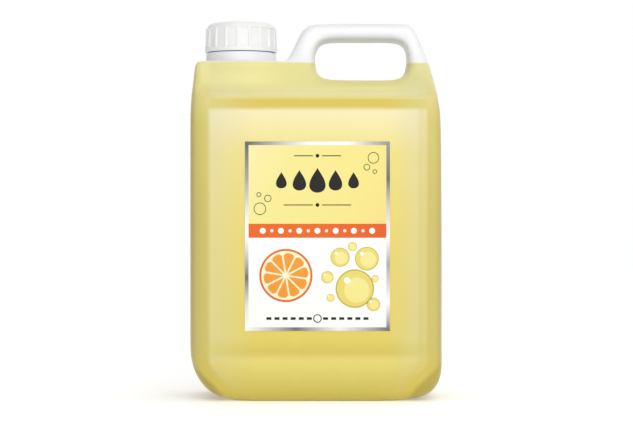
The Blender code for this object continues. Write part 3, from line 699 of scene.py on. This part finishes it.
def printed_film(name, tones, start, end):
    """Varnished ink on film: smooth and half glossy, with the press's faint mottle.

    Its tones run along the face from start to end, both (x, height).
    """
    surface, tree, shader = new_material(name)
    place = add(tree, "ShaderNodeTexCoord").outputs["Object"]
    run = Vector((end[0] - start[0], 0, end[1] - start[1]))
    from_start = add(tree, "ShaderNodeVectorMath", {
        0: place, 1: (start[0] * MM, 0, start[1] * MM)}, operation="SUBTRACT")
    along_run = add(tree, "ShaderNodeVectorMath", {
        0: from_start.outputs[0], 1: run / (run.length_squared * MM)}, operation="DOT_PRODUCT")
    colour = add(tree, "ShaderNodeValToRGB", {"Fac": along_run.outputs["Value"]}, stops=tones)
    mottle = add(tree, "ShaderNodeTexNoise", {
        "Vector": place, "Scale": 1 / (0.9 * MM), "Detail": 2.0})
    evenness = add(tree, "ShaderNodeMapRange", {
        "Value": mottle.outputs[0], "To Min": 0.985, "To Max": 1.01})
    inked = add(tree, "ShaderNodeVectorMath", {
        0: colour.outputs["Color"], 1: evenness.outputs[0]}, operation="MULTIPLY")
    gloss = add(tree, "ShaderNodeMapRange", {
        "Value": mottle.outputs[0], "To Min": 0.34, "To Max": 0.46})
    bump = add(tree, "ShaderNodeBump", {
        "Height": mottle.outputs[0], "Strength": 0.05, "Distance": 0.05 * MM})
    tree.links.new(inked.outputs[0], shader.inputs["Base Color"])
    tree.links.new(gloss.outputs[0], shader.inputs["Roughness"])
    tree.links.new(bump.outputs[0], shader.inputs["Normal"])
    shader.inputs["IOR"].default_value = 1.5
    shader.inputs["Specular IOR Level"].default_value = 0.3
    return surface


def label_film(sides_first_slot):
    """The film with its frame, and its face cut at the band's two edges."""
    film = bmesh.new()
    bmesh.ops.create_cube(film, size=1.0)
    bmesh.ops.scale(film, verts=film.verts, vec=(
        LABEL_RIGHT - LABEL_LEFT, LABEL_FACE - LABEL_BACK, LABEL_TOP - LABEL_BOTTOM))
    bmesh.ops.translate(film, verts=film.verts, vec=(
        LABEL_MIDDLE, -(LABEL_FACE + LABEL_BACK) / 2, (LABEL_TOP + LABEL_BOTTOM) / 2))
    face = min(film.faces, key=lambda side: side.calc_center_median().y)
    bmesh.ops.inset_region(film, faces=[face], thickness=BORDER, use_even_offset=True)
    for side in film.faces:
        middle = side.calc_center_median()
        if side == face or middle.y > -LABEL_FACE + ON_FACE:
            continue
        beyond = [middle.z - FIELD_TOP, middle.x - FIELD_RIGHT,
                  FIELD_BOTTOM - middle.z, FIELD_LEFT - middle.x]
        side.material_index = sides_first_slot + beyond.index(max(beyond))
    for height in (BAND_LOW, BAND_HIGH):
        field = [side for side in film.faces if side.material_index == 0
                 and side.calc_center_median().y < -LABEL_FACE + ON_FACE]
        around = {item for side in field for item in (*side.verts, *side.edges)}
        bmesh.ops.bisect_plane(film, geom=[*field, *around], dist=CUT_DIST,
                               plane_co=(0, 0, height), plane_no=(0, 0, 1))
    for side in film.faces:
        middle = side.calc_center_median()
        if side.material_index == 0 and middle.y < -LABEL_FACE + ON_FACE:
            side.material_index = 0 if middle.z < BAND_LOW else 2 if middle.z < BAND_HIGH else 1
    return film


def lay_ink(label, outline, ink, coats=1):
    """A flat patch of ink with an outline of (x, height); more coats lie on fewer."""
    patch = bmesh.new()
    back = -LABEL_FACE + INK / 2
    patch.faces.new([patch.verts.new((x, back, height)) for x, height in outline])
    drawn = bmesh.ops.extrude_face_region(patch, geom=patch.faces[:])["geom"]
    bmesh.ops.translate(patch, vec=(0, -INK * (coats + 0.5), 0),
                        verts=[item for item in drawn if isinstance(item, bmesh.types.BMVert)])
    bmesh.ops.recalc_face_normals(patch, faces=patch.faces)
    for side in patch.faces:
        side.material_index = ink
    join(label, patch)


def disc(x, height, radius, steps=28):
    return [(x + radius * cos(tau * step / steps), height + radius * sin(tau * step / steps))
            for step in range(steps)]


def bar(x, height, width, thickness):
    return [(x + side * width / 2, height + up * thickness / 2)
            for side, up in ((-1, -1), (1, -1), (1, 1), (-1, 1))]


def drop(x, height, size):
    """A drop with its tip up, size tall."""
    outline = []
    for step in range(30):
        turn = tau * step / 30
        outline.append((x - 0.46 * size * sin(turn) * sin(turn / 2) ** 1.4,
                        height + size / 2 * cos(turn)))
    return outline


def wedge(x, height, inner, outer, middle, half_angle):
    """One segment of a fruit slice, pointed at the slice's middle, with a round back."""
    outline = [(x + inner * cos(middle), height + inner * sin(middle))]
    for step in range(7):
        share = step / 3 - 1
        turn = middle + half_angle * share
        reach = outer * (1 - 0.10 * share ** 4)
        outline.append((x + reach * cos(turn), height + reach * sin(turn)))
    return outline


def lay_ring(label, x, height, radius, line, ink, ground):
    lay_ink(label, disc(x, height, radius), ink)
    lay_ink(label, disc(x, height, radius - line), ground, coats=2)


def fruit_slice(label, x, height, radius):
    lay_ink(label, disc(x, height, radius, 48), PEEL)
    lay_ink(label, disc(x, height, radius * 0.92, 48), PITH, coats=2)
    for segment in range(10):
        middle = tau * (segment + 0.25) / 10
        lay_ink(label, wedge(x, height, radius * 0.10, radius * 0.84, middle, radians(15.5)),
                PULP, coats=3)


def soap_bubble(label, x, height, radius):
    lay_ink(label, disc(x, height, radius, 40), BUBBLE_RIM)
    lay_ink(label, disc(x, height, radius * 0.93, 40), BUBBLE, coats=2)
    lay_ink(label, disc(x + radius * 0.10, height - radius * 0.08, radius * 0.66, 36),
            BUBBLE_HEART, coats=3)
    lay_ink(label, disc(x - radius * 0.40, height + radius * 0.42, radius * 0.17, 20),
            WHITE, coats=4)



def band_dots(label):
    """White dots along the orange band, large and small in turn."""
    for step in range(-6, 7):
        radius = 0.9 if step % 2 else 1.7
        lay_ink(label, disc(LABEL_MIDDLE + 5.3 * step, BAND_MIDDLE, radius), WHITE)


def label_inks(side, left, right):
    """The label's finishes in the order of its slots; left and right as its reader sees it."""
    def ink(name, tones, start=(0, LABEL_BOTTOM), end=(0, LABEL_TOP)):
        return printed_film(f"{side}_{name}", tones, start, end)

    return [
        ink("white_film", [(0.0, "#F1F1EF"), (0.45, "#F7F7F6"), (1.0, "#F7F7F6")]),
        ink("yellow_ink", [(0.0, "#EFE5A9"), (0.3, "#EDE190"), (0.7, "#EDDF88"), (1.0, "#EDD784")],
            (left, LABEL_TOP), (right, BAND_HIGH)),
        ink("orange_ink", [(0.0, "#E26318"), (0.5, "#E3661C"), (1.0, "#DE5C1B")],
            (left, LABEL_BOTTOM), (right, LABEL_BOTTOM)),
        ink("silver_top", [(0.0, "#5E5A58"), (0.18, "#A9A7A6"), (0.45, "#F2F2F2"),
                           (0.70, "#F5F5F5"), (0.88, "#B9B7B6"), (1.0, "#8F8D8C")],
            (left, LABEL_TOP), (right, LABEL_TOP)),
        ink("silver_right", [(0.0, "#9A9896"), (0.20, "#6C6A68"), (0.33, "#C4C2C0"),
                             (0.50, "#F4F4F4"), (0.65, "#A4A2A0"), (0.85, "#F2F2F2"),
                             (1.0, "#63605E")],
            (right, LABEL_TOP), (right, LABEL_BOTTOM)),
        ink("silver_bottom", [(0.0, "#F2F2F2"), (0.35, "#6E6C6A"), (0.65, "#E8E8E7"),
                              (1.0, "#63605E")],
            (left, LABEL_BOTTOM), (right, LABEL_BOTTOM)),
        ink("silver_left", [(0.0, "#5E5A58"), (0.20, "#A4A2A0"), (0.40, "#E9E9E9"),
                            (0.50, "#F5F5F5"), (0.72, "#6A6866"), (0.87, "#DDDCDB"),
                            (1.0, "#F3F3F3")],
            (left, LABEL_TOP), (left, LABEL_BOTTOM)),
        ink("charcoal_ink", [(0.0, "#0F0D0C"), (1.0, "#1A1715")]),
        ink("peel_ink", [(0.0, "#DB5E18"), (1.0, "#E8782C")]),
        ink("pith_ink", [(0.0, "#F8EBC0"), (1.0, "#FBF3D6")]),
        ink("pulp_ink", [(0.0, "#E88E28"), (1.0, "#EEA644")]),
        ink("bubble_rim_ink", [(0.0, "#B9A63F"), (1.0, "#C9B953")]),
        ink("bubble_ink", [(0.0, "#E0CE66"), (1.0, "#E9DB7E")]),
        ink("bubble_heart_ink", [(0.0, "#EBDE86"), (1.0, "#F3E9A4")]),
    ]


front = label_film(FRAME_TOP)
for place_in_row, size in enumerate((9.5, 12.0, 14.5, 12.0, 9.5)):
    lay_ink(front, drop(LABEL_MIDDLE + 10.5 * (place_in_row - 2), 129.0, size), CHARCOAL)
for height, width in ((143.2, 22.0), (114.6, 34.0)):
    for side in (-1, 1):
        lay_ink(front, bar(LABEL_MIDDLE + side * (2.6 + width / 4), height, width / 2, 0.55),
                CHARCOAL)
    lay_ink(front, disc(LABEL_MIDDLE, height, 1.1), CHARCOAL)
for x, height, radius in ((33.4, 142.0, 3.3), (29.6, 136.6, 1.9), (34.2, 134.0, 1.3),
                          (-32.6, 112.4, 3.6), (-28.0, 118.4, 2.1), (-33.2, 120.6, 1.4)):
    lay_ring(front, x, height, radius, 0.4, CHARCOAL, YELLOW)
band_dots(front)
fruit_slice(front, -17.5, 73.6, 15.5)
for x, height, radius in ((22.6, 66.0, 11.2), (29.6, 83.4, 6.9), (14.0, 84.2, 5.6),
                          (33.4, 56.8, 3.9), (6.6, 72.6, 3.6), (21.2, 90.4, 2.7),
                          (8.4, 60.6, 2.3), (34.4, 71.8, 2.1)):
    soap_bubble(front, x, height, radius)
for place_in_row in range(-6, 7):
    if place_in_row:
        lay_ink(front, bar(LABEL_MIDDLE + 4.7 * place_in_row, 48.6, 2.9, 1.5), CHARCOAL)
lay_ring(front, LABEL_MIDDLE, 48.6, 2.5, 0.6, CHARCOAL, WHITE)
front_label = add_piece("front_label_print", front, label_inks("front", LABEL_LEFT, LABEL_RIGHT),
                        "pack")
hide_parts("front_label")


# Back label: the same film, frame and inks, turned to face the back, with short rules and dots
# in two columns where a pack has its directions.

back = label_film(FRAME_TOP)
for place_in_row, size in enumerate((6.5, 8.5, 6.5)):
    lay_ink(back, drop(LABEL_MIDDLE + 8.0 * (place_in_row - 1), 139.0, size), CHARCOAL)
for row in range(6):
    for column in (-1, 1):
        width = 30.0 if row % 3 < 2 else 19.0
        x = LABEL_MIDDLE + column * 19.0 - (30.0 - width) / 2
        lay_ink(back, bar(x, 128.5 - 3.6 * row, width, 0.9), CHARCOAL)
band_dots(back)
for row in range(9):
    width = 36.0 if row % 4 < 3 else 22.0
    lay_ink(back, bar(LABEL_LEFT + 6.5 + width / 2, 88.4 - 3.6 * row, width, 0.8), CHARCOAL)
fruit_slice(back, 26.0, 76.0, 11.0)
for x, height, radius in ((20.0, 53.4, 3.4), (28.6, 56.8, 5.2), (35.4, 50.6, 2.4)):
    soap_bubble(back, x, height, radius)
bmesh.ops.rotate(back, verts=back.verts, cent=(LABEL_MIDDLE, 0, 0),
                 matrix=Matrix.Rotation(pi, 3, "Z"))
back_label = add_piece("back_label_print", back, label_inks("back", LABEL_RIGHT, LABEL_LEFT),
                       "pack")
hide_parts("back_label")


# Floor, light and camera: a pale table in a white room whose side walls stand in shade, with
# one soft lamp high in front. The camera is level with the middle of the pack.

def soft_lamp(name, place, aim, width, depth, power):
    light = bpy.data.lights.new(name, "AREA")
    light.shape = "RECTANGLE"
    light.size, light.size_y = width, depth
    light.energy = power
    lamp = bpy.data.objects.new(name, light)
    lamp.location = place
    lamp.rotation_euler = (Vector(aim) - Vector(place)).to_track_quat("-Z", "Y").to_euler()
    bpy.context.collection.objects.link(lamp)


table = bmesh.new()
bmesh.ops.create_grid(table, x_segments=1, y_segments=1, size=6.0)
table_mesh = bpy.data.meshes.new("table_top")
table.to_mesh(table_mesh)
table.free()
table_top = bpy.data.objects.new("table_top", table_mesh)
bpy.context.collection.objects.link(table_top)
paper, paper_tree, paper_shader = new_material("white_paper")
paper_shader.inputs["Base Color"].default_value = linear("#F4F4F4")
paper_shader.inputs["Roughness"].default_value = 0.9
paper_shader.inputs["Specular IOR Level"].default_value = 0.1
paper_shader.inputs["Emission Color"].default_value = linear("#FFFFFF")
paper_shader.inputs["Emission Strength"].default_value = 0.27
table_mesh.materials.append(paper)

room = bpy.data.worlds.new("white_room")
bpy.context.scene.world = room
room.use_nodes = True
toward = add(room.node_tree, "ShaderNodeTexCoord").outputs["Generated"]
sideways = add(room.node_tree, "ShaderNodeMapRange", {
    "Value": add(room.node_tree, "ShaderNodeSeparateXYZ", {0: toward}).outputs["X"],
    "From Min": -1.0})
wall_light = add(room.node_tree, "ShaderNodeValToRGB", {"Fac": sideways.outputs[0]}, stops=[
    (0.0, "#868686"), (0.15, "#9A9A9A"), (0.38, "#FFFFFF"), (0.70, "#FFFFFF"), (1.0, "#BEBEBE")])
background = room.node_tree.nodes["Background"]
room.node_tree.links.new(wall_light.outputs["Color"], background.inputs["Color"])

soft_lamp("front_lamp", (0.35, -1.7, 1.15), (0, 0, 0.12), 1.1, 0.7, 9.5)

camera = bpy.data.cameras.new("camera")
camera.sensor_width = 36.0
camera.lens = 118.5
viewer = bpy.data.objects.new("camera", camera)
viewer.location = (0.0003, -1.25, 0.1111)
viewer.rotation_euler = (radians(90), 0, 0)
bpy.context.collection.objects.link(viewer)
bpy.context.scene.camera = viewer
bpy.context.scene.view_settings.view_transform = "Standard"
